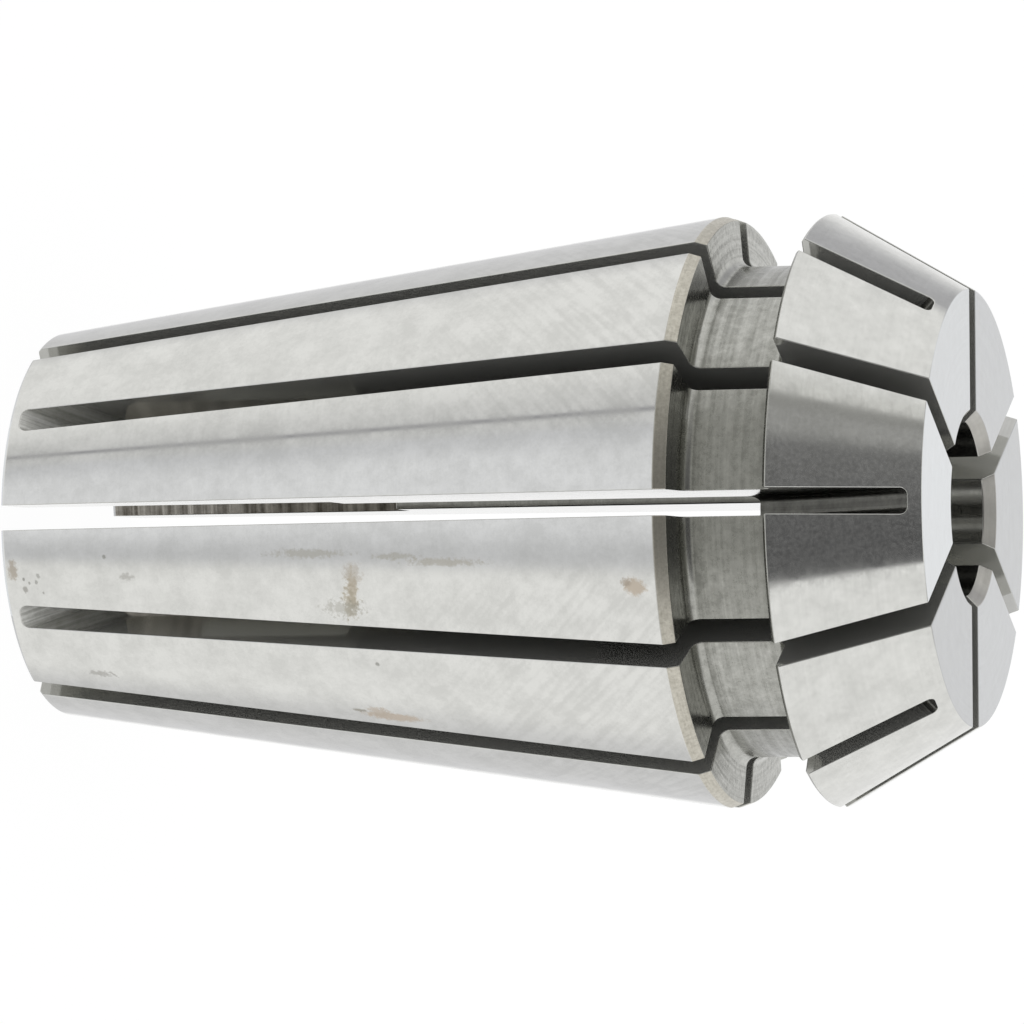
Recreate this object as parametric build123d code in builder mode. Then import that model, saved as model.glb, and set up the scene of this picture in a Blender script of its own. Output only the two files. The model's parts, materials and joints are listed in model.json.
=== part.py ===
"""Spring collet for a tapered holder with a screwed nut.

One turned, bored and sawn piece of spring steel. It stands on its small back end, with the
origin at the centre of that end and +Z along the axis to the head.
"""

import os
from math import radians, sqrt, tan

from build123d import *

# Turned outside, in millimetres and degrees
overall_length = 27.5
widest_diameter = 17.0
head_length = 3.9
head_half_angle = 30.0
head_edge = 0.1
groove_diameter = 14.1
groove_width = 2.64
groove_fillet = 0.3
flank_lean = 5.0
shoulder_length = 0.35
shoulder_drop = 0.12
taper_half_angle = 8.0
rim_break = 0.1

# Bore, and the wider relief behind it
bore_diameter = 5.0
bore_chamfer = 0.32
relief_diameter = 7.5
relief_depth = 9.4

# Sawn slots, cut by turns from the two ends
slots_per_end = 6
slot_width = 0.72
slot_corner = 0.2
slot_bridge = 0.37
saw_diameter = 40.0
saw_overcut = 2.25

# Heights and radii of the outside, from the front face down to the back end. The head and the
# taper's big end are equally wide.
widest_radius = widest_diameter / 2
head_back = overall_length - head_length
groove_front = head_back - head_edge
groove_back = groove_front - groove_width
groove_radius = groove_diameter / 2
flank_radius = widest_radius - shoulder_drop
flank_height = groove_back - (flank_radius - groove_radius) * tan(radians(flank_lean))
shoulder_height = flank_height - shoulder_length
front_radius = widest_radius - head_length * tan(radians(head_half_angle))
back_radius = widest_radius - shoulder_height * tan(radians(taper_half_angle))

# At its deepest the saw's rim stands well inside the bore, just short of the axis
bore_radius = bore_diameter / 2
saw_radius = saw_diameter / 2
saw_reach = bore_radius - saw_overcut
saw_centre_radius = saw_reach + saw_radius
saw_clearance = 1.0
slot_turn = 360 / slots_per_end


def saw_cut(end_radius, end_height, direction):
    """Space that the saw clears in one slot, in the half plane of +X.

    The saw comes in from one end and runs along the collet. Its rim leaves a curved floor, which
    meets the outside at end_radius and end_height. A direction of 1 runs up to the head, and -1
    runs down to the back end.
    """
    outer_radius = widest_radius + saw_clearance
    rise_to_end = sqrt(saw_radius**2 - (saw_centre_radius - end_radius) ** 2)
    rise_to_rim = sqrt(saw_radius**2 - (saw_centre_radius - outer_radius) ** 2)
    centre_height = end_height - direction * rise_to_end
    open_height = -saw_clearance if direction > 0 else overall_length + saw_clearance
    floor_start = (saw_reach, centre_height)
    floor_end = (outer_radius, centre_height + direction * rise_to_rim)

    with BuildPart() as cut:
        with BuildSketch(Plane.XZ):
            with BuildLine():
                Line((saw_reach, open_height), floor_start)
                RadiusArc(floor_start, floor_end, direction * saw_radius)
                Polyline(
                    floor_end,
                    (outer_radius, open_height),
                    (saw_reach, open_height),
                )
            make_face()
        extrude(amount=slot_width / 2, both=True)
        floor_edges = cut.edges().filter_by(GeomType.CIRCLE)
        fillet(floor_edges, slot_corner)
    return cut.part


# Height and radius at which each kind of slot runs out on the outside
head_end_radius = front_radius + slot_bridge * tan(radians(head_half_angle))
tail_end_radius = back_radius + slot_bridge * tan(radians(taper_half_angle))
back_slot = saw_cut(head_end_radius, overall_length - slot_bridge, 1)
front_slot = saw_cut(tail_end_radius, slot_bridge, -1)

with BuildPart() as collet:
    # Outside: long taper, shoulder, nut groove and short steep head
    with BuildSketch(Plane.XZ) as outside:
        with BuildLine():
            Polyline(
                (0, 0),
                (back_radius, 0),
                (widest_radius, shoulder_height),
                (flank_radius, flank_height),
                (groove_radius, groove_back),
                (groove_radius, groove_front),
                (widest_radius - head_edge, groove_front),
                (widest_radius, head_back),
                (front_radius, overall_length),
                (0, overall_length),
                (0, 0),
            )
        make_face()
        groove_corners = outside.vertices().filter_by(
            lambda corner: abs(corner.X - groove_radius) < 0.001 and corner.Y > shoulder_height
        )
        fillet(groove_corners, groove_fillet)
    revolve(axis=Axis.Z)

    # Bore through, with the wider relief drilled from the back end
    with Locations(collet.faces().sort_by(Axis.Z)[0]):
        CounterBoreHole(bore_radius, relief_diameter / 2, relief_depth)
    rims = collet.edges().filter_by(GeomType.CIRCLE).group_by(Axis.Z)
    chamfer(rims[-1].sort_by(SortBy.RADIUS)[0], bore_chamfer)
    chamfer(rims[0], rim_break)

    # One slot from the back faces -Y, and the slots from the front lie midway between
    with PolarLocations(0, slots_per_end, start_angle=-90):
        add(back_slot, mode=Mode.SUBTRACT)
    with PolarLocations(0, slots_per_end, start_angle=-90 + slot_turn / 2):
        add(front_slot, mode=Mode.SUBTRACT)

collet.part.label = "collet"
os.makedirs("parts", exist_ok=True)
export_step(collet.part, "parts/collet.step")
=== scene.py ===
"""Looks of a slotted spring collet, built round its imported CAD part.

Everything is in the part's own frame: the collet stands on its small back end, with +Z along the
axis to the head. Sizes are named in millimetres, and the finished mesh is in metres. The camera
lies on its side, because the photograph shows the collet lying with its head to the right.
"""

import json
import logging
from dataclasses import dataclass, field
from enum import Enum, IntEnum
from math import asin, atan2, cos, hypot, pi, radians, sin, sqrt, tan
from typing import Any

import bmesh
import bpy
from mathutils import Matrix, Vector

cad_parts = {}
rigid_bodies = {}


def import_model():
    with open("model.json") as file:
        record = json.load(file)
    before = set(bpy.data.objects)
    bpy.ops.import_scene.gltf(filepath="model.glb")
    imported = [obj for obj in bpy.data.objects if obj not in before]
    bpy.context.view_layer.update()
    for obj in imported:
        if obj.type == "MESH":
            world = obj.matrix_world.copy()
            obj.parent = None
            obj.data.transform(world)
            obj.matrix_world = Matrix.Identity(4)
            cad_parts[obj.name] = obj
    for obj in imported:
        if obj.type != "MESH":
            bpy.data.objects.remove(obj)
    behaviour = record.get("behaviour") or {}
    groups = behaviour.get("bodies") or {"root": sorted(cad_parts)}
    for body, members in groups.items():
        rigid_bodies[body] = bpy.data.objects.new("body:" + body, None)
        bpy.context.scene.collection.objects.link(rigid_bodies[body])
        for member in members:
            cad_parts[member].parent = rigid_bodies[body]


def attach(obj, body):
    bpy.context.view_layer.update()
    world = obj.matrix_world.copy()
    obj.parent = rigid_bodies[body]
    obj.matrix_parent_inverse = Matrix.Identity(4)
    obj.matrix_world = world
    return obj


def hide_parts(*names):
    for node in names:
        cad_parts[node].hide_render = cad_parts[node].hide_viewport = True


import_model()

MM = 0.001
NODE = "collet"
TWELFTH = radians(30)

# Nearness, in millimetres and radians, at which two points count as one
SAME_PLACE = 0.001
SAME_VERTEX = 0.0005
SAME_TURN = 0.001

# The grinder breaks each corner that turns by more than this
SHARP_TURN = radians(18)

# Radius at which ring marks are as long as their finish says, in millimetres
RING_RADIUS = 6.0

# Grains of the stains' frayed rims and of the pits, in millimetres. Real pits are under 0.02 mm
# across, so these are drawn coarser, and they show. They deepen between two levels of the grain.
STAIN_GRAIN = 0.12
PIT_GRAIN = 0.1
PIT_RANGE = (0.35, 0.7)

# How far the grain frays a stain, where its rim starts and how wide it is, as shares of the
# stain's half size, and the roughness that a dried stain adds
STAIN_FRAY = 6.0
STAIN_CORE = 0.6
STAIN_FADE = 0.5
STAIN_ROUGHNESS = 0.25

# Ripples of a trembling grinding wheel, in millimetres: how far apart and how many times longer
# than wide they are, the heights between which they grow, and how far round they come in
CHATTER_PITCH = 0.3
CHATTER_RUN = 8.0
CHATTER_HEIGHTS = (10.0, 18.0)
CHATTER_ARCS = (1.4, 2.8)

# Where the row of chances starts that gives each finger its painted sheen, a little lighter or
# darker
PAINTED_SHEEN_SEED = 37

MATH = "ShaderNodeMath"
VECTOR = "ShaderNodeVectorMath"

log = logging.getLogger("collet")

Point = tuple[float, float]
Source = bpy.types.NodeSocket | bpy.types.Node


class Zone(IntEnum):
    """Ways in which the surface was made, with the two sawn slot floors kept apart for their
    painted shade and painted light. Each one is a material slot, in this order.
    """

    TAPER = 0
    HEAD = 1
    FACE = 2
    GROOVE = 3
    SHOULDER = 4
    COUNTERSINK = 5
    BORE = 6
    RELIEF = 7
    SLOT_WALL = 8
    SLOT_FLOOR = 9
    FLANK = 10
    TAIL_FLOOR = 11


def colour(text: str) -> tuple[float, float, float, float]:
    """Turns an sRGB hex value into the linear colour that a shader takes.

    Args:
        text: six hex digits, such as "d6d6d1".

    Returns:
        Red, green, blue and an alpha of one.
    """
    parts = [int(text[i : i + 2], 16) / 255 for i in (0, 2, 4)]
    linear = [p / 12.92 if p <= 0.04045 else ((p + 0.055) / 1.055) ** 2.4 for p in parts]
    return (*linear, 1.0)


def add(
    tree: bpy.types.NodeTree,
    kind: str,
    links: dict[Any, Any] | None = None,
    **settings: Any,
) -> bpy.types.Node:
    """Adds one node with its settings and its inputs.

    Args:
        tree: the node tree of a material or the world.
        kind: the node's type.
        links: for each input's name or number, a value to set, a socket to link, or a node
            whose first output is linked.
        **settings: the node's own properties.

    Returns:
        The new node.
    """
    node = tree.nodes.new(kind)
    for name, value in settings.items():
        setattr(node, name, value)
    for name, value in (links or {}).items():
        if isinstance(value, bpy.types.Node):
            value = value.outputs[0]
        if isinstance(value, bpy.types.NodeSocket):
            tree.links.new(value, node.inputs[name])
        else:
            node.inputs[name].default_value = value
    return node


class Lay(Enum):
    """Way in which the tool's marks run over a surface."""

    ROUND = "round the axis, side by side along it"
    RINGS = "in rings on a face across the axis"
    ALONG = "along a slot, side by side across it"


class Place:
    """Tells where on the collet a shaded point is, in millimetres and radians.

    The angle is 0 on the side of -Y and grows towards +X.
    """

    def __init__(self, tree: bpy.types.NodeTree) -> None:
        """Adds the nodes.

        Args:
            tree: the material's node tree.
        """
        self.tree = tree
        metres = add(tree, "ShaderNodeTexCoord").outputs["Object"]
        self.point = add(tree, VECTOR, {0: metres, "Scale": 1 / MM}, operation="SCALE")
        self.x, self.y, self.height = add(tree, "ShaderNodeSeparateXYZ", {0: self.point}).outputs
        level = add(tree, VECTOR, {0: self.point, 1: (1.0, 1.0, 0.0)}, operation="MULTIPLY")
        self.radius = add(tree, VECTOR, {0: level}, operation="LENGTH").outputs["Value"]
        backward = add(tree, MATH, {0: self.y, 1: -1.0}, operation="MULTIPLY")
        self.angle = add(tree, MATH, {0: self.x, 1: backward}, operation="ARCTAN2")

    def along(self, lay: Lay, width: float, run: float) -> Source:
        """Makes coordinates that go up by one with each tool mark.

        Args:
            lay: the way in which the marks run.
            width: the width of one mark, in millimetres.
            run: how many times longer than wide a mark is.

        Returns:
            The coordinates, as a vector.
        """
        tree = self.tree
        slow = 1 / (width * run)
        if lay is Lay.ROUND:
            scales = (slow, slow, 1 / width)
            return add(tree, VECTOR, {0: self.point, 1: scales}, operation="MULTIPLY")
        if lay is Lay.RINGS:
            offset = self.radius
            ring = slow * RING_RADIUS
            scale = add(tree, MATH, {0: ring, 1: self.radius}, operation="DIVIDE")
            sides = (self.x, self.y)
        else:
            bounds = {1: TWELFTH / 2, 2: -TWELFTH / 2}
            folded = add(tree, MATH, {0: self.angle, **bounds}, operation="WRAP")
            sine = add(tree, MATH, {0: folded}, operation="SINE")
            offset = add(tree, MATH, {0: self.radius, 1: sine}, operation="MULTIPLY")
            scale = slow
            sides = (self.x, add(tree, MATH, {0: self.y, 1: self.height}, operation="ADD"))
        across = add(tree, MATH, {0: offset, 1: width}, operation="DIVIDE")
        first, second = (
            add(tree, MATH, {0: side, 1: scale}, operation="MULTIPLY") for side in sides
        )
        return add(tree, "ShaderNodeCombineXYZ", {0: first, 1: second, 2: across})


@dataclass(frozen=True)
class Stain:
    """A dried spot on the taper. Lengths in millimetres, and the angle in degrees from -Y to +X.

    The strength is the cover at its middle, and broken says how much the grain frays it.
    """

    height: float
    angle: float
    length: float
    width: float
    tint: str
    strength: float
    broken: float

    def cover(self, place: Place, grain: Source) -> Source:
        """Makes a factor that is near one on the spot and zero outside its ragged rim.

        Args:
            place: the shaded point's place.
            grain: a fine noise, which frays the rim and breaks up the spot.

        Returns:
            The factor.
        """
        tree = place.tree
        rise = add(tree, MATH, {0: place.height, 1: self.height}, operation="SUBTRACT")
        along = add(tree, MATH, {0: rise, 1: self.length / 2}, operation="DIVIDE")
        turn = add(tree, MATH, {0: place.angle, 1: radians(self.angle)}, operation="SUBTRACT")
        arc = add(tree, MATH, {0: turn, 1: place.radius}, operation="MULTIPLY")
        across = add(tree, MATH, {0: arc, 1: self.width / 2}, operation="DIVIDE")
        offset = add(tree, "ShaderNodeCombineXYZ", {0: along, 1: across})
        distance = add(tree, VECTOR, {0: offset}, operation="LENGTH").outputs["Value"]
        fray = self.broken * STAIN_FRAY
        frayed = add(tree, MATH, {0: grain, 1: fray, 2: distance}, operation="MULTIPLY_ADD")
        inner = STAIN_CORE + fray / 2
        outer = inner + STAIN_FADE + self.broken
        return add(
            tree,
            "ShaderNodeMapRange",
            {0: frayed, 1: inner, 2: outer, 3: self.strength, 4: 0.0},
            interpolation_type="SMOOTHSTEP",
        )


@dataclass(frozen=True)
class Steel:
    """A finish of hardened spring steel. Lengths in millimetres.

    The streaks follow the tool's marks, the clouds are soft mottling, and the chatter is slanting
    ripples. All three are shares of the range from the dark colour to the light one. The painted
    finger sheen gives each finger its own share too: painted sheen, a little lighter or darker, as
    its slight tilt would make its reflection. The pitting is the most of the light that fine pits
    scatter. A width of 0.06 mm stands for the marks of a grinding wheel. Real ones are about 0.01
    mm wide, too fine to show, so they are drawn coarser.
    """

    name: str
    light: str
    dark: str
    roughness: tuple[float, float]
    lay: Lay = Lay.ROUND
    mark_width: float = 0.06
    mark_run: float = 60.0
    mark_depth: float = 0.0004
    streaks: float = 1.0
    cloud_size: float = 0.5
    clouds: float = 1.5
    painted_finger_sheen: float = 0.0
    metallic: float = 1.0
    pitting: float = 0.0
    chatter: float = 0.0
    stains: tuple[Stain, ...] = ()

    def make(self) -> bpy.types.Material:
        """Returns the finish as a material."""
        material = bpy.data.materials.new(self.name)
        material.use_nodes = True
        tree = material.node_tree
        place = Place(tree)
        lines = place.along(self.lay, self.mark_width, self.mark_run)
        marks = add(
            tree,
            "ShaderNodeTexNoise",
            {"Vector": lines, "Scale": 1.0, "Detail": 3.0, "Roughness": 0.6},
        )
        clouds = add(
            tree,
            "ShaderNodeTexNoise",
            {"Vector": place.point, "Scale": 1 / self.cloud_size, "Detail": 5.0, "Roughness": 0.8},
        )
        start = 0.5 - (self.streaks + self.clouds) / 2
        tone = add(tree, MATH, {0: marks, 1: self.streaks, 2: start}, operation="MULTIPLY_ADD")
        tone = add(tree, MATH, {0: clouds, 1: self.clouds, 2: tone}, operation="MULTIPLY_ADD")
        if self.chatter:
            tone = add(tree, MATH, {0: tone, 1: self.chatter_tone(place)}, operation="ADD")
        # Painted sheen: each finger a little lighter or darker, as its tilt would reflect the light
        if self.painted_finger_sheen:
            tone = add(tree, MATH, {0: tone, 1: self.painted_sheen_of_finger(place)}, operation="ADD")
        base = add(
            tree,
            "ShaderNodeMix",
            {0: tone, 6: colour(self.dark), 7: colour(self.light)},
            data_type="RGBA",
            clamp_factor=True,
        ).outputs[2]
        rough = add(
            tree,
            "ShaderNodeMapRange",
            {0: tone, 1: 0.0, 2: 1.0, 3: self.roughness[1], 4: self.roughness[0]},
        )
        shader = tree.nodes["Principled BSDF"]
        shader.inputs["Metallic"].default_value = self.metallic
        if self.stains or self.pitting:
            grain_size = PIT_GRAIN if self.pitting else STAIN_GRAIN
            grain = add(
                tree,
                "ShaderNodeTexNoise",
                {"Vector": place.point, "Scale": 1 / grain_size, "Detail": 3.0, "Roughness": 0.6},
            )
            for stain in self.stains:
                cover = stain.cover(place, grain)
                base = add(
                    tree,
                    "ShaderNodeMix",
                    {0: cover, 6: base, 7: colour(stain.tint)},
                    data_type="RGBA",
                ).outputs[2]
                dulled = {0: cover, 1: STAIN_ROUGHNESS, 2: rough}
                rough = add(tree, MATH, dulled, operation="MULTIPLY_ADD")
        if self.pitting:
            low, high = PIT_RANGE
            bare = add(
                tree,
                "ShaderNodeMapRange",
                {0: grain, 1: low, 2: high, 3: 1.0, 4: 1.0 - self.pitting},
            )
            tree.links.new(bare.outputs[0], shader.inputs["Metallic"])
        tree.links.new(base, shader.inputs["Base Color"])
        tree.links.new(rough.outputs[0], shader.inputs["Roughness"])
        bump = add(tree, "ShaderNodeBump", {"Distance": self.mark_depth * MM, "Height": marks})
        tree.links.new(bump.outputs[0], shader.inputs["Normal"])
        return material

    def painted_sheen_of_finger(self, place: Place) -> Source:
        """Makes the painted sheen that a finger's own tilt would give it, added to the tone.

        Args:
            place: the shaded point's place. A finger here is the sixth of a turn between two
                slots that open at the front.

        Returns:
            The share of the range that the tone gets.
        """
        tree = place.tree
        bounds = {1: 2 * pi - TWELFTH, 2: -TWELFTH}
        turned = add(tree, MATH, {0: place.angle, **bounds}, operation="WRAP")
        count = add(tree, MATH, {0: turned, 1: 2 * TWELFTH}, operation="DIVIDE")
        finger = add(tree, MATH, {0: count}, operation="ROUND")
        number = add(tree, MATH, {0: finger, 1: PAINTED_SHEEN_SEED}, operation="ADD")
        chance = add(tree, "ShaderNodeTexWhiteNoise", {"W": number}, noise_dimensions="1D")
        reach = {1: self.painted_finger_sheen, 2: -self.painted_finger_sheen / 2}
        return add(tree, MATH, {0: chance, **reach}, operation="MULTIPLY_ADD")

    def chatter_tone(self, place: Place) -> Source:
        """Makes the slanting ripples of a trembling grinding wheel, which grow towards the head.

        Args:
            place: the shaded point's place.

        Returns:
            The share of the range that the tone gets.
        """
        tree = place.tree
        turn = add(tree, MATH, {0: place.angle}, operation="ABSOLUTE")
        arc = add(tree, MATH, {0: turn, 1: place.radius}, operation="MULTIPLY")
        down = add(tree, MATH, {0: place.height, 1: arc}, operation="ADD")
        up = add(tree, MATH, {0: place.height, 1: arc}, operation="SUBTRACT")
        slanting = add(tree, "ShaderNodeCombineXYZ", {0: down, 1: up})
        scales = (1 / CHATTER_PITCH, 1 / (CHATTER_PITCH * CHATTER_RUN), 1.0)
        ripple_point = add(tree, VECTOR, {0: slanting, 1: scales}, operation="MULTIPLY")
        ripples = add(
            tree, "ShaderNodeTexNoise", {"Vector": ripple_point, "Scale": 1.0, "Detail": 1.0}
        )
        low, high = CHATTER_HEIGHTS
        grown = add(
            tree,
            "ShaderNodeMapRange",
            {0: place.height, 1: low, 2: high, 3: 0.0, 4: self.chatter},
        )
        near, far = CHATTER_ARCS
        beside = add(tree, "ShaderNodeMapRange", {0: arc, 1: near, 2: far})
        share = add(tree, MATH, {0: grown, 1: beside}, operation="MULTIPLY")
        either_way = add(tree, MATH, {0: ripples, 1: 0.5}, operation="SUBTRACT")
        return add(tree, MATH, {0: either_way, 1: share}, operation="MULTIPLY")


FINISHES: dict[Zone, Steel] = {
    # Hardened and finely ground all round. The wheel leaves a soft mirror with a mottled bloom and
    # slanting ripples towards the head, and drops of oil have dried on it in brown and grey spots.
    Zone.TAPER: Steel(
        "ground_taper_steel",
        "dcdcd8",
        "cfcfcb",
        (0.07, 0.13),
        mark_depth=0.0002,
        streaks=0.3,
        clouds=4.0,
        cloud_size=1.2,
        chatter=2.2,
        stains=(
            # A brown streak across the taper, and the grey one under it
            Stain(11.15, 14.8, 0.5, 0.65, "c2baae", 0.6, 0.4),
            Stain(11.1, 18.3, 0.3, 0.9, "c0b6a4", 0.8, 0.4),
            Stain(11.0, 21.3, 0.36, 0.7, "b8b09e", 0.75, 0.6),
            Stain(10.8, 22.8, 0.8, 0.3, "aaa89e", 0.5, 0.9),
            # Thin smears beside the middle slot
            Stain(9.8, 9.9, 1.8, 0.2, "b0ada2", 0.6, 0.6),
            Stain(12.5, 10.4, 1.1, 0.16, "b0ada2", 0.6, 0.55),
            Stain(14.0, 11.6, 1.8, 0.18, "b4afa2", 0.6, 0.6),
            # The brown spot by the lower slot
            Stain(11.5, 53.5, 1.7, 0.34, "c6bbad", 1.0, 0.25),
            Stain(11.1, 52.4, 0.7, 0.4, "c5bbae", 0.9, 0.35),
            Stain(10.5, 52.3, 0.4, 0.12, "9c988c", 0.8, 0.3),
            # The brown spot by the shoulder
            Stain(19.75, 16.0, 0.6, 0.46, "ccc1b2", 1.0, 0.3),
            Stain(19.5, 15.2, 0.3, 0.2, "bcb1a3", 0.8, 0.35),
            # The spot and specks by the back end
            Stain(0.33, 15.5, 0.26, 0.54, "bdb6ab", 1.0, 0.35),
            Stain(0.66, 18.1, 0.08, 0.1, "92928c", 0.75, 0.15),
            Stain(0.68, 21.1, 0.14, 0.2, "a2a09a", 0.75, 0.3),
            Stain(0.83, 19.2, 0.08, 0.1, "989892", 0.65, 0.2),
            Stain(1.06, 18.8, 0.09, 0.12, "9c9c96", 0.65, 0.25),
            Stain(1.14, 17.0, 0.1, 0.15, "9e9e98", 0.6, 0.35),
            Stain(1.25, 22.0, 0.07, 0.08, "9c9c96", 0.6, 0.2),
            # Faint marks and nicks
            Stain(4.0, 16.6, 0.4, 0.16, "b0aea8", 0.6, 0.5),
            Stain(2.5, 48.6, 0.6, 0.16, "a2a09a", 0.6, 0.8),
            Stain(3.33, 11.2, 0.12, 0.13, "9a9a94", 0.8, 0.15),
            Stain(11.5, 36.8, 0.14, 0.14, "9a9a94", 0.8, 0.15),
        ),
    ),
    # Ground like the taper. Fine pits scatter a little light, which puts a grain on dark
    # reflections.
    Zone.HEAD: Steel(
        "ground_head_steel",
        "dcdcd8",
        "cbcbc7",
        (0.07, 0.16),
        mark_depth=0.0005,
        streaks=0.6,
        clouds=3.0,
        cloud_size=0.8,
        pitting=0.065,
    ),
    # Faced and ground flat in rings. It is smooth and pale, and each finger is painted a little
    # lighter or darker than the next, as painted sheen for the slight tilt of its tip.
    Zone.FACE: Steel(
        "ground_face_steel",
        "d8dbdd",
        "b0b1b2",
        (0.12, 0.18),
        Lay.RINGS,
        streaks=0.3,
        clouds=0.4,
        painted_finger_sheen=1.0,
    ),
    # Turned with a feed of 0.16 mm and never ground. It is greyer than the rest, and lined.
    Zone.GROOVE: Steel(
        "turned_groove_steel",
        "babab4",
        "90908a",
        (0.2, 0.32),
        mark_width=0.16,
        mark_depth=0.0015,
        streaks=1.6,
        cloud_size=0.3,
        clouds=2.2,
    ),
    # Turned and left with its fine tear. It is matt and warm, and edges the taper with a line.
    Zone.SHOULDER: Steel(
        "turned_shoulder_steel",
        "d0ccc0",
        "aeaa9e",
        (0.32, 0.42),
        mark_depth=0.001,
        cloud_size=0.12,
        clouds=3.0,
    ),
    # Countersunk in one plunge. It is matt and slightly warm, and rings the mouth of the bore.
    Zone.COUNTERSINK: Steel("turned_countersink_steel", "bcbab4", "a4a29c", (0.3, 0.4)),
    # Bored and honed. It is a smooth mirror, so that it shows the slots as dark and light bands.
    Zone.BORE: Steel("bored_steel", "bcbcb8", "9e9e9a", (0.1, 0.2)),
    # Drilled with a feed of 0.3 mm. It is dull, with deep dark rings.
    Zone.RELIEF: Steel(
        "drilled_relief_steel",
        "ccc8c0",
        "746f66",
        (0.35, 0.5),
        mark_width=0.3,
        mark_depth=0.02,
        streaks=3.5,
    ),
    # Sawn with a fine blade. It is flat and bright, so that a wall seen at a low angle is white
    # with light from behind, and a deep slot is nearly black.
    Zone.SLOT_WALL: Steel(
        "sawn_wall_steel", "cacac6", "bebeba", (0.06, 0.1), mark_depth=0.0, metallic=0.86
    ),
    # Sawn by the rim of the blade. Its teeth leave dark scratches along the slot, 0.08 mm apart,
    # and the whole floor is painted darker as painted shade deep in the slot.
    Zone.SLOT_FLOOR: Steel(
        "shaded_sawn_floor_steel",
        "84847f",
        "5a5a56",
        (0.25, 0.4),
        Lay.ALONG,
        mark_width=0.08,
        mark_depth=0.0005,
        streaks=1.5,
        metallic=0.9,
    ),
    # Turned with the side of the tool, which tears the metal. It is grey, in coarse grained rings
    # 0.1 mm apart.
    Zone.FLANK: Steel(
        "turned_flank_steel",
        "b0b0aa",
        "868680",
        (0.2, 0.3),
        Lay.RINGS,
        mark_width=0.1,
        mark_depth=0.001,
        streaks=2.0,
        cloud_size=0.2,
        clouds=3.0,
    ),
    # Sawn, and open to the light where it runs out at the back end. It is frosted, and painted pale
    # as painted light there, with the same scratches as the other floor.
    Zone.TAIL_FLOOR: Steel(
        "lit_sawn_tail_steel",
        "d8d8d4",
        "94948e",
        (0.3, 0.45),
        Lay.ALONG,
        mark_width=0.08,
        mark_depth=0.001,
        streaks=2.5,
        metallic=0.4,
    ),
}


@dataclass(frozen=True)
class Sector:
    """Part of a twelfth of a turn, in even angles, before the slots get their parallel walls.

    A twelfth runs from the middle of a slot that opens at the back end to the middle of the next
    one, which opens at the front.
    """

    start: float
    end: float
    steps: int


SLOT_SHARE = radians(3)
CORNER_STEPS = 5
BACK_SLOT = Sector(0.0, SLOT_SHARE, 1 + CORNER_STEPS)
FINGER = Sector(SLOT_SHARE, TWELFTH - SLOT_SHARE, 14)
FRONT_SLOT = Sector(TWELFTH - SLOT_SHARE, TWELFTH, 1 + CORNER_STEPS)


@dataclass(frozen=True)
class Run:
    """One stretch of an outline in the half plane of radius and height, in millimetres.

    A run with a centre is an arc round it, and any other run is straight.
    """

    start: Point
    end: Point
    zone: Zone
    sectors: tuple[Sector, ...] = (FINGER,)
    parts: int = 1
    centre: Point | None = None

    def turn(self) -> float:
        """Returns the angle from the start to the end of an arc, the short way round."""
        first = atan2(self.start[1] - self.centre[1], self.start[0] - self.centre[0])
        last = atan2(self.end[1] - self.centre[1], self.end[0] - self.centre[0])
        return (last - first + pi) % (2 * pi) - pi

    def sweep(self, mesh: bmesh.types.BMesh, sector: Sector) -> None:
        """Draws the run as edges at the start of a sector, and spins them through it.

        Args:
            mesh: the mesh that gets the new faces.
            sector: the angles that the run goes through.
        """
        known_verts = len(mesh.verts)
        known_edges = len(mesh.edges)
        known_faces = len(mesh.faces)
        first = mesh.verts.new((self.start[0], 0, self.start[1]))
        if self.centre is None:
            last = mesh.verts.new((self.end[0], 0, self.end[1]))
            edge = mesh.edges.new((first, last))
            if self.parts > 1:
                bmesh.ops.subdivide_edges(mesh, edges=[edge], cuts=self.parts - 1)
        else:
            centre = (self.centre[0], 0, self.centre[1])
            bmesh.ops.spin(
                mesh,
                geom=[first],
                cent=centre,
                axis=(0, -1, 0),
                angle=self.turn(),
                steps=self.parts,
            )
        mesh.verts.ensure_lookup_table()
        drawn = mesh.verts[known_verts:]
        start_turn = Matrix.Rotation(sector.start, 3, "Z")
        bmesh.ops.rotate(mesh, verts=drawn, cent=(0, 0, 0), matrix=start_turn)
        mesh.edges.ensure_lookup_table()
        bmesh.ops.spin(
            mesh,
            geom=drawn + mesh.edges[known_edges:],
            cent=(0, 0, 0),
            axis=(0, 0, 1),
            angle=sector.end - sector.start,
            steps=sector.steps,
        )
        mesh.faces.ensure_lookup_table()
        for face in mesh.faces[known_faces:]:
            face.material_index = self.zone
            face.smooth = True


@dataclass(frozen=True)
class SlotFloor:
    """The curved floor that the saw leaves in one kind of slot, in millimetres.

    It runs from the outer end on the outside to the inner end on the bore's wall. At both ends the
    slot lies along the given direction from the floor.
    """

    centre: Vector
    radius: float
    outer_end: Vector
    outer_along: Vector
    inner_end: Vector
    inner_along: Vector

    def holds(self, point: Vector) -> bool:
        """Tells whether a point of radius and height lies on the floor."""
        return abs((point - self.centre).length - self.radius) < SAME_PLACE

    def raised(self, point: Vector, height: float) -> Vector:
        """Moves a point of the floor into the slot, as the saw's rounded corner does.

        Args:
            point: radius and height of a point of the floor.
            height: how far the corner stands above the floor there.

        Returns:
            The new radius and height. The floor's two ends stay on the surfaces that they meet.
        """
        radius = self.radius - height
        ends = ((self.outer_end, self.outer_along), (self.inner_end, self.inner_along))
        for end, along in ends:
            if (point - end).length < SAME_PLACE:
                arm = end - self.centre
                lean = arm.dot(along)
                return end + along * (-lean - sqrt(lean**2 - arm.length_squared + radius**2))
        return self.centre + (point - self.centre) * radius / self.radius


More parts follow.
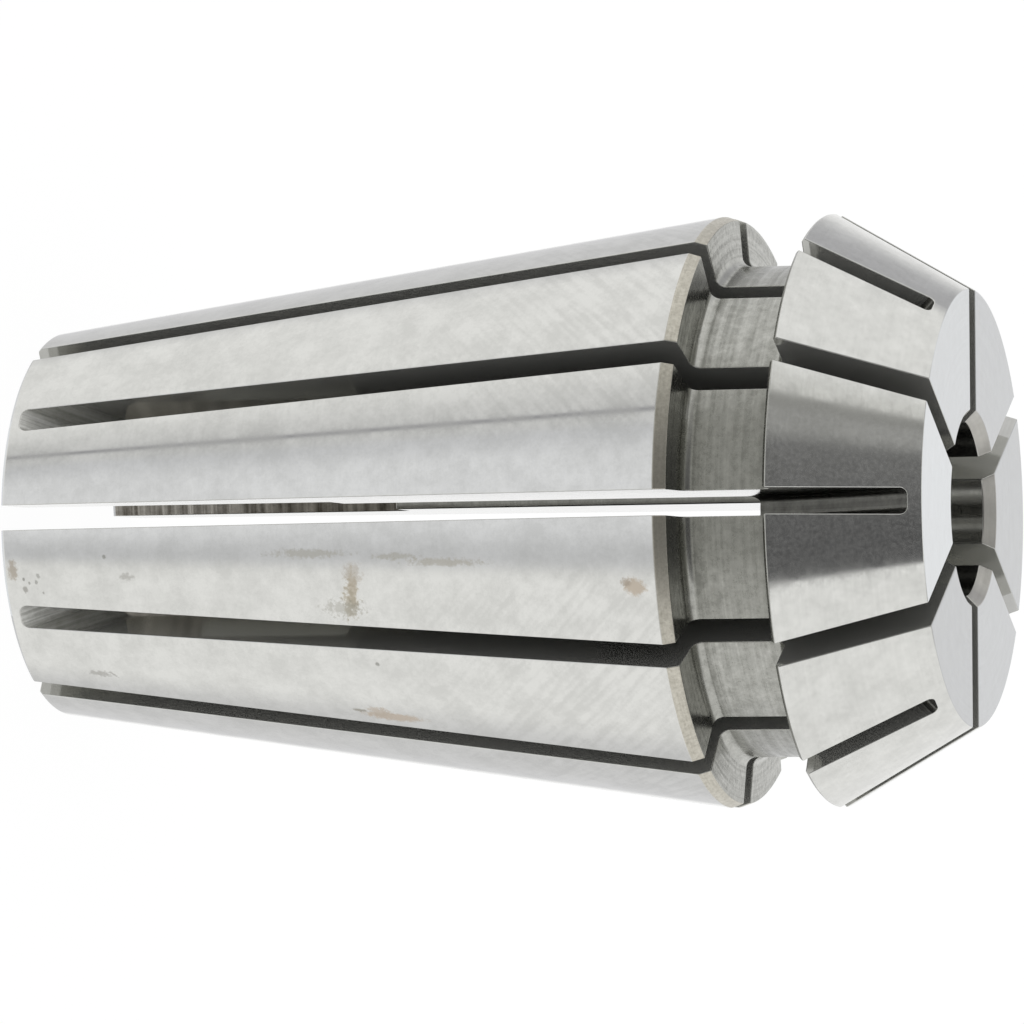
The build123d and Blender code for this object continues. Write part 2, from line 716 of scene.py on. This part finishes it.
@dataclass
class ColletBody:
    """The collet's one piece: turned, bored, sawn twelve times and ground. Sizes in millimetres."""

    overall_length: float = 27.5
    widest_radius: float = 8.5
    head_length: float = 3.9
    head_half_angle: float = 30.0
    head_edge: float = 0.1
    groove_radius: float = 7.05
    groove_width: float = 2.64
    groove_fillet: float = 0.3
    flank_lean: float = 5.0
    shoulder_length: float = 0.35
    shoulder_drop: float = 0.12
    taper_half_angle: float = 8.0
    rim_break: float = 0.1
    bore_radius: float = 2.5
    bore_chamfer: float = 0.32
    relief_radius: float = 3.75
    relief_depth: float = 9.4
    slot_width: float = 0.72
    slot_corner: float = 0.2
    slot_bridge: float = 0.37
    saw_radius: float = 20.0
    saw_overcut: float = 2.25
    edge_round: float = 0.03
    floors: dict[Sector, SlotFloor] = field(default_factory=dict)

    def saw_centre(self, end: Point, direction: int) -> Point:
        """Finds the saw's centre when it stops, from where its floor meets the outside.

        Args:
            end: radius and height of that point.
            direction: 1 where the saw runs up to the head, -1 where it runs down.

        Returns:
            The centre's radius and height.
        """
        radius = self.bore_radius - self.saw_overcut + self.saw_radius
        rise = sqrt(self.saw_radius**2 - (radius - end[0]) ** 2)
        return (radius, end[1] - direction * rise)

    def floor_on(self, centre: Point, radius: float, direction: int) -> Point:
        """Returns the point where a saw floor meets a wall of the given radius."""
        rise = sqrt(self.saw_radius**2 - (centre[0] - radius) ** 2)
        return (radius, centre[1] + direction * rise)

    def outline(self) -> list[Run]:
        """Lays out every surface as a run, from the back end round the outside into the bore.

        Returns:
            The runs of the turned outline, and last the two kinds of slot floor.
        """
        length = self.overall_length
        widest = self.widest_radius
        taper = tan(radians(self.taper_half_angle))
        cone = tan(radians(self.head_half_angle))
        lean = radians(self.flank_lean)
        head_back = length - self.head_length
        groove_front = head_back - self.head_edge
        groove_back = groove_front - self.groove_width
        flank_radius = widest - self.shoulder_drop
        flank_height = groove_back - (flank_radius - self.groove_radius) * tan(lean)
        shoulder_height = flank_height - self.shoulder_length
        front_radius = widest - self.head_length * cone
        back_radius = widest - shoulder_height * taper

        head_end = (front_radius + self.slot_bridge * cone, length - self.slot_bridge)
        tail_end = (back_radius + self.slot_bridge * taper, self.slot_bridge)
        head_centre = self.saw_centre(head_end, 1)
        tail_centre = self.saw_centre(tail_end, -1)
        bore_end = self.floor_on(head_centre, self.bore_radius, 1)
        relief_end = self.floor_on(tail_centre, self.relief_radius, -1)
        self.floors = {
            BACK_SLOT: SlotFloor(
                centre=Vector(head_centre),
                radius=self.saw_radius,
                outer_end=Vector(head_end),
                outer_along=Vector((cone, -1)).normalized(),
                inner_end=Vector(bore_end),
                inner_along=Vector((0, -1)),
            ),
            FRONT_SLOT: SlotFloor(
                centre=Vector(tail_centre),
                radius=self.saw_radius,
                outer_end=Vector(tail_end),
                outer_along=Vector((taper, 1)).normalized(),
                inner_end=Vector(relief_end),
                inner_along=Vector((0, 1)),
            ),
        }

        slope = self.rim_break * cos(atan2(taper, 1))
        break_inner = (self.relief_radius, self.rim_break)
        face_inner = (self.relief_radius + self.rim_break, 0.0)
        face_outer = (back_radius - self.rim_break, 0.0)
        break_outer = (back_radius + slope * taper, slope)
        taper_top = (widest, shoulder_height)
        shoulder_top = (flank_radius, flank_height)
        near_corner = self.groove_fillet / tan((pi / 2 + lean) / 2)
        near_centre = (self.groove_radius + self.groove_fillet, groove_back + near_corner)
        near_flank = (
            self.groove_radius + near_corner * cos(lean),
            groove_back - near_corner * sin(lean),
        )
        near_floor = (self.groove_radius, near_centre[1])
        far_centre = (near_centre[0], groove_front - self.groove_fillet)
        far_floor = (self.groove_radius, far_centre[1])
        far_flank = (far_centre[0], groove_front)
        head_rim = (widest - self.head_edge, groove_front)
        head_widest = (widest, head_back)
        front_rim = (front_radius, length)
        sink_outer = (self.bore_radius + self.bore_chamfer, length)
        sink_inner = (self.bore_radius, length - self.bore_chamfer)
        step_inner = (self.bore_radius, self.relief_depth)
        step_outer = (self.relief_radius, self.relief_depth)

        at_back = (FINGER, FRONT_SLOT)
        at_front = (FINGER, BACK_SLOT)
        return [
            Run(face_inner, face_outer, Zone.FACE, at_back, parts=2),
            Run(face_outer, break_outer, Zone.FACE, at_back),
            Run(break_outer, tail_end, Zone.TAPER, at_back),
            Run(tail_end, taper_top, Zone.TAPER, parts=12),
            Run(taper_top, shoulder_top, Zone.SHOULDER),
            Run(shoulder_top, near_flank, Zone.FLANK, parts=2),
            Run(near_flank, near_floor, Zone.GROOVE, parts=6, centre=near_centre),
            Run(near_floor, far_floor, Zone.GROOVE, parts=3),
            Run(far_floor, far_flank, Zone.GROOVE, parts=6, centre=far_centre),
            Run(far_flank, head_rim, Zone.FLANK, parts=2),
            Run(head_rim, head_widest, Zone.GROOVE),
            Run(head_widest, head_end, Zone.HEAD, parts=4),
            Run(head_end, front_rim, Zone.HEAD, at_front),
            Run(front_rim, sink_outer, Zone.FACE, at_front, parts=4),
            Run(sink_outer, sink_inner, Zone.COUNTERSINK, at_front),
            Run(sink_inner, bore_end, Zone.BORE, at_front, parts=3),
            Run(bore_end, step_inner, Zone.BORE, parts=5),
            Run(step_inner, step_outer, Zone.RELIEF),
            Run(step_outer, relief_end, Zone.RELIEF, parts=4),
            Run(relief_end, break_inner, Zone.RELIEF, at_back, parts=2),
            Run(break_inner, face_inner, Zone.FACE, at_back),
            Run(head_end, bore_end, Zone.SLOT_FLOOR, (BACK_SLOT,), parts=12, centre=head_centre),
            Run(tail_end, relief_end, Zone.TAIL_FLOOR, (FRONT_SLOT,), parts=10, centre=tail_centre),
        ]

    def wall(self, mesh: bmesh.types.BMesh, turn: float) -> None:
        """Closes the open loop at one even angle with a flat slot wall.

        Args:
            mesh: the swept and merged mesh.
            turn: the even angle of the wall, in radians.
        """
        rim = [
            edge
            for edge in mesh.edges
            if edge.is_boundary
            and all(abs(atan2(v.co.y, v.co.x) - turn) < SAME_TURN for v in edge.verts)
        ]
        bmesh.ops.edgeloop_fill(mesh, edges=rim, mat_nr=Zone.SLOT_WALL, use_smooth=True)

    def settle(self, vert: bmesh.types.BMVert) -> None:
        """Moves one vertex, so that the slot walls come parallel and the slot floors rounded."""
        point = Vector((hypot(vert.co.x, vert.co.y), vert.co.z))
        even = atan2(vert.co.y, vert.co.x)
        half = self.slot_width / 2
        edge = SLOT_SHARE + SAME_TURN
        if edge < even < TWELFTH - edge:
            wall = asin(half / point.x)
            share = (even - SLOT_SHARE) / (TWELFTH - 2 * SLOT_SHARE)
            turn = wall + share * (TWELFTH - 2 * wall)
        else:
            sector = BACK_SLOT if even <= edge else FRONT_SLOT
            off_middle = even if sector is BACK_SLOT else TWELFTH - even
            row = off_middle / SLOT_SHARE * sector.steps
            bend = max(row - 1, 0.0) / CORNER_STEPS * pi / 2
            across = min(row, 1.0) * (half - self.slot_corner) + self.slot_corner * sin(bend)
            floor = self.floors[sector]
            if floor.holds(point):
                point = floor.raised(point, self.slot_corner * (1 - cos(bend)))
            turn = asin(across / point.x)
            if sector is FRONT_SLOT:
                turn = TWELFTH - turn
        vert.co = (point.x * cos(turn), point.x * sin(turn), point.y)

    def all_round(self, mesh: bmesh.types.BMesh) -> None:
        """Mirrors the twelfth and repeats it six times, with a back slot facing -Y."""
        geometry = mesh.verts[:] + mesh.edges[:] + mesh.faces[:]
        bmesh.ops.mirror(mesh, geom=geometry, axis="Y", merge_dist=SAME_VERTEX)
        bmesh.ops.spin(
            mesh,
            geom=mesh.verts[:] + mesh.edges[:] + mesh.faces[:],
            cent=(0, 0, 0),
            axis=(0, 0, 1),
            angle=TWELFTH * 10,
            steps=5,
            use_duplicate=True,
        )
        bmesh.ops.remove_doubles(mesh, verts=mesh.verts[:], dist=SAME_VERTEX)
        bmesh.ops.rotate(
            mesh, verts=mesh.verts[:], cent=(0, 0, 0), matrix=Matrix.Rotation(-pi / 2, 3, "Z")
        )
        bmesh.ops.recalc_face_normals(mesh, faces=mesh.faces[:])

    def round_edges(self, mesh: bmesh.types.BMesh) -> None:
        """Breaks every sharp edge, apart from the smooth bends inside a slot."""
        sawn = {Zone.SLOT_WALL, Zone.SLOT_FLOOR, Zone.TAIL_FLOOR}
        sharp = [
            edge
            for edge in mesh.edges
            if edge.is_manifold
            and edge.calc_face_angle() > SHARP_TURN
            and not {face.material_index for face in edge.link_faces} <= sawn
        ]
        bmesh.ops.bevel(
            mesh,
            geom=sharp,
            offset=self.edge_round,
            offset_type="OFFSET",
            segments=2,
            profile=0.5,
            affect="EDGES",
            clamp_overlap=True,
            material=-1,
        )
        for face in mesh.faces:
            face.smooth = True

    @staticmethod
    def weighted_normals(mesh: bmesh.types.BMesh) -> list[Vector]:
        """Lets the widest faces set each vertex's normal, so that a broken edge leaves them flat.

        The normals are worked out in millimetres, because the modifier for this takes the areas of
        a mesh this small in metres as equal.
        """
        mesh.normal_update()
        normals = []
        for vert in mesh.verts:
            faces = sorted(vert.link_faces, key=lambda face: face.index)
            pulls = (face.normal * face.calc_area() ** 2 for face in faces)
            normals.append(sum(pulls, Vector()).normalized())
        return normals

    @staticmethod
    def put_in_order(mesh: bmesh.types.BMesh) -> None:
        """Sorts the mesh by place, because a bevel's own order changes from run to run."""
        for parts, place in (
            (mesh.verts, lambda vert: vert.co[:]),
            (mesh.edges, lambda edge: sorted(vert.index for vert in edge.verts)),
            (mesh.faces, lambda face: sorted(vert.index for vert in face.verts)),
        ):
            ranks = {part: rank for rank, part in enumerate(sorted(parts, key=place))}
            parts.sort(key=ranks.get)
            parts.index_update()

    def build(self) -> bpy.types.Object:
        """Makes the whole piece, in metres.

        Returns:
            The collet's object, linked to the scene.
        """
        mesh = bmesh.new()
        for run in self.outline():
            for sector in run.sectors:
                run.sweep(mesh, sector)
        bmesh.ops.remove_doubles(mesh, verts=mesh.verts[:], dist=SAME_VERTEX)
        self.wall(mesh, SLOT_SHARE)
        self.wall(mesh, TWELFTH - SLOT_SHARE)
        for vert in mesh.verts:
            self.settle(vert)
        self.all_round(mesh)
        self.round_edges(mesh)
        self.put_in_order(mesh)
        open_edges = sum(not edge.is_manifold for edge in mesh.edges)
        normals = self.weighted_normals(mesh)
        bmesh.ops.scale(mesh, vec=(MM, MM, MM), verts=mesh.verts[:])
        data = bpy.data.meshes.new("collet_body")
        mesh.to_mesh(data)
        mesh.free()
        data.normals_split_custom_set_from_vertices(normals)
        body = bpy.data.objects.new("collet_body", data)
        bpy.context.scene.collection.objects.link(body)
        log.info("collet_body: %d faces, %d open edges", len(data.polygons), open_edges)
        return body

    @staticmethod
    def dress(body: bpy.types.Object) -> None:
        """Gives each zone of the collet its finish, in the order of the zones."""
        for zone in Zone:
            body.data.materials.append(FINISHES[zone].make())
        log.info("collet_body: %d finishes", len(body.data.materials))


@dataclass(frozen=True)
class Panel:
    """A dark panel round the set, which the polished steel shows as a band.

    Angles are in degrees. The azimuth is 0 on the side of -Y and grows towards +X. The soft sides
    and ends are the widths of the fades there. A panel may come back evenly round the set.
    """

    azimuth: tuple[float, float]
    elevation: tuple[float, float]
    tint: str
    soft_sides: tuple[float, float] = (12.0, 12.0)
    soft_ends: tuple[float, float] = (15.0, 15.0)
    repeats: int = 1


@dataclass
class Studio:
    """Pale floor, soft light and the camera. Lengths in millimetres, angles in degrees.

    The aim, distance, azimuth, elevation, roll and lens are those that the photograph's edges fit.
    The glow is the share of the floor's look that is plain white to the camera, and the lamp's
    power is in watts.
    """

    lens: float = 247.5
    aim: tuple[float, float, float] = (-0.127, -0.005, 13.739)
    distance: float = 204.483
    azimuth: float = 2.206
    elevation: float = 17.030
    roll: float = 88.987
    floor_radius: float = 900.0
    floor_glow: float = 0.98
    lamp_size: float = 300.0
    lamp_distance: float = 450.0
    lamp_power: float = 0.9
    panels: tuple[Panel, ...] = (
        # The open front of the light tent, with the camera's dark room behind it
        Panel((-52.3, 34.8), (10, 75), "a6a6a5", soft_sides=(3, 2), soft_ends=(14, 30)),
        Panel((-33, 34.8), (10, 75), "b8b8ba", soft_sides=(9, 2), soft_ends=(14, 30)),
        Panel((-5, 34.8), (10, 75), "c9c9cb", soft_sides=(50, 2), soft_ends=(14, 30)),
        Panel((-61, -46), (10, 75), "e6e6e4", soft_sides=(14, 6), soft_ends=(14, 30)),
        # The tent's lower front edge
        Panel((-72, 58), (-26, 10), "dcdcda", soft_sides=(24, 30), soft_ends=(10, 10)),
        Panel((-47, 27), (-26, 10), "d7d7d5", soft_sides=(12, 16), soft_ends=(10, 10)),
        # The table's cooler middle, with a dark seam at each side
        Panel((-36, 25), (-45, -24), "f7f8fc", soft_sides=(6, 8)),
        Panel((-54, -29), (-45, -24), "e2e2e3", soft_sides=(24, 18)),
        Panel((-42.6, -40.8), (-45, -24), "a9a9ae", soft_sides=(0.8, 1.6)),
        Panel((12, 26), (-45, -24), "e2e2e2", soft_sides=(16, 12)),
        # The tent's shaded walls behind the collet
        Panel((108, 168), (-40, -12), "e3e3e5", soft_sides=(22, 8), soft_ends=(10, 8)),
        Panel((-168, -120), (-40, -12), "e0e0e2", soft_sides=(8, 14), soft_ends=(10, 8)),
        # The tent's darker side
        Panel((-155, -124), (-1, 30), "c0c0c4", soft_sides=(24, 6), soft_ends=(22, 12)),
        # Dark gaps high up, which the collet shows from its other sides
        Panel((68, 112), (46, 75), "8a8a8c", soft_ends=(10, 20), repeats=2),
    )

    def set_camera(self) -> None:
        """Places the camera as it stood for the photograph, turned on its side."""
        azimuth = radians(self.azimuth)
        elevation = radians(self.elevation)
        back = Vector(
            (sin(azimuth) * cos(elevation), -cos(azimuth) * cos(elevation), sin(elevation))
        )
        level = Vector((cos(azimuth), sin(azimuth), 0.0))
        upright = back.cross(level)
        right = level * cos(radians(self.roll)) + upright * sin(radians(self.roll))
        up = back.cross(right)
        data = bpy.data.cameras.new("camera")
        data.lens = self.lens
        data.sensor_width = 36.0
        data.clip_start = 0.01
        data.clip_end = 10.0
        camera = bpy.data.objects.new("camera", data)
        axes = Matrix((right, up, back)).transposed().to_4x4()
        place = (Vector(self.aim) + back * self.distance) * MM
        camera.matrix_world = Matrix.Translation(place) @ axes
        bpy.context.scene.collection.objects.link(camera)
        bpy.context.scene.camera = camera

    def set_world(self) -> None:
        """Lights everything evenly, and lets the steel see the panels round the set."""
        world = bpy.data.worlds.new("studio")
        bpy.context.scene.world = world
        world.use_nodes = True
        tree = world.node_tree
        direction = add(tree, "ShaderNodeTexCoord").outputs["Generated"]
        x, y, z = add(tree, "ShaderNodeSeparateXYZ", {0: direction}).outputs
        forward = add(tree, MATH, {0: y, 1: -1.0}, operation="MULTIPLY")
        turn = add(tree, MATH, {0: x, 1: forward}, operation="ARCTAN2")
        azimuth = add(tree, MATH, {0: turn}, operation="DEGREES")
        rise = add(tree, MATH, {0: z}, operation="ARCSINE")
        elevation = add(tree, MATH, {0: rise}, operation="DEGREES")
        white = (1.0, 1.0, 1.0, 1.0)
        light = white
        for panel in self.panels:
            half_width = (panel.azimuth[1] - panel.azimuth[0]) / 2
            half_turn = 180 / panel.repeats
            middle = sum(panel.azimuth) / 2
            offset = add(tree, MATH, {0: azimuth, 1: middle}, operation="SUBTRACT")
            bounds = {1: half_turn, 2: -half_turn}
            offset = add(tree, MATH, {0: offset, **bounds}, operation="WRAP")
            across = self.window(tree, offset, (-half_width, half_width), panel.soft_sides)
            upward = self.window(tree, elevation, panel.elevation, panel.soft_ends)
            cover = add(tree, MATH, {0: across, 1: upward}, operation="MULTIPLY")
            light = add(
                tree,
                "ShaderNodeMix",
                {0: cover, 6: light, 7: colour(panel.tint)},
                data_type="RGBA",
                blend_type="MULTIPLY",
            ).outputs[2]
        paths = add(tree, "ShaderNodeLightPath")
        glossy = paths.outputs["Is Glossy Ray"]
        seen = add(
            tree, "ShaderNodeMix", {0: glossy, 6: white, 7: light}, data_type="RGBA"
        ).outputs[2]
        shader = tree.nodes["Background"]
        tree.links.new(seen, shader.inputs["Color"])

    @staticmethod
    def window(
        tree: bpy.types.NodeTree,
        value: Source,
        ends: tuple[float, float],
        softness: tuple[float, float],
    ) -> Source:
        """Makes a factor that is one between two ends and fades out past them.

        Args:
            tree: the world's node tree.
            value: what is compared with the ends.
            ends: the lower and the upper end, in the middle of their fades.
            softness: the width of each fade.

        Returns:
            The factor.
        """
        rise = add(
            tree,
            "ShaderNodeMapRange",
            {0: value, 1: ends[0] - softness[0] / 2, 2: ends[0] + softness[0] / 2},
            interpolation_type="SMOOTHSTEP",
        )
        fall = add(
            tree,
            "ShaderNodeMapRange",
            {0: value, 1: ends[1] - softness[1] / 2, 2: ends[1] + softness[1] / 2, 3: 1.0, 4: 0.0},
            interpolation_type="SMOOTHSTEP",
        )
        return add(tree, MATH, {0: rise, 1: fall}, operation="MULTIPLY")

    def lay_floor(self) -> None:
        """Lays a pale floor that is white to the camera, but for the collet's soft shadow."""
        disc = bmesh.new()
        bmesh.ops.create_circle(disc, cap_ends=True, segments=64, radius=self.floor_radius * MM)
        data = bpy.data.meshes.new("floor")
        disc.to_mesh(data)
        disc.free()
        floor = bpy.data.objects.new("floor", data)
        bpy.context.scene.collection.objects.link(floor)
        floor.visible_glossy = False
        # Matt white paper, seamless: nothing but the collet's shadow shows on it
        material = bpy.data.materials.new("white_paper")
        material.use_nodes = True
        tree = material.node_tree
        tree.nodes.remove(tree.nodes["Principled BSDF"])
        paper = add(tree, "ShaderNodeBsdfDiffuse", {"Color": colour("f4f4f4")})
        glow = add(tree, "ShaderNodeEmission", {"Color": (1, 1, 1, 1), "Strength": 1.0})
        camera_ray = add(tree, "ShaderNodeLightPath").outputs["Is Camera Ray"]
        share = add(tree, MATH, {0: camera_ray, 1: self.floor_glow}, operation="MULTIPLY")
        mixed = add(tree, "ShaderNodeMixShader", {0: share, 1: paper, 2: glow})
        tree.links.new(mixed.outputs[0], tree.nodes["Material Output"].inputs["Surface"])
        data.materials.append(material)

    def hang_lamp(self) -> None:
        """Hangs one wide soft lamp above the head, which gives the floor its faint shadow."""
        data = bpy.data.lights.new("soft_lamp", "AREA")
        data.shape = "DISK"
        data.size = self.lamp_size * MM
        data.energy = self.lamp_power
        lamp = bpy.data.objects.new("soft_lamp", data)
        lamp.location = (0, 0, self.lamp_distance * MM)
        lamp.visible_glossy = False
        bpy.context.scene.collection.objects.link(lamp)

    def build(self) -> None:
        """Sets the camera, the light and the floor."""
        self.set_camera()
        self.set_world()
        self.lay_floor()
        self.hang_lamp()
        bpy.context.scene.view_settings.view_transform = "Standard"


def main() -> None:
    """Builds the studio and the collet, and reports each piece."""
    logging.basicConfig(level=logging.INFO, format="%(name)s: %(message)s")
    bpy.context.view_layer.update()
    Studio().build()
    collet = ColletBody()
    body = collet.build()
    collet.dress(body)
    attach(body, "root")
    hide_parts(NODE)


if __name__ == "__main__":
    main()
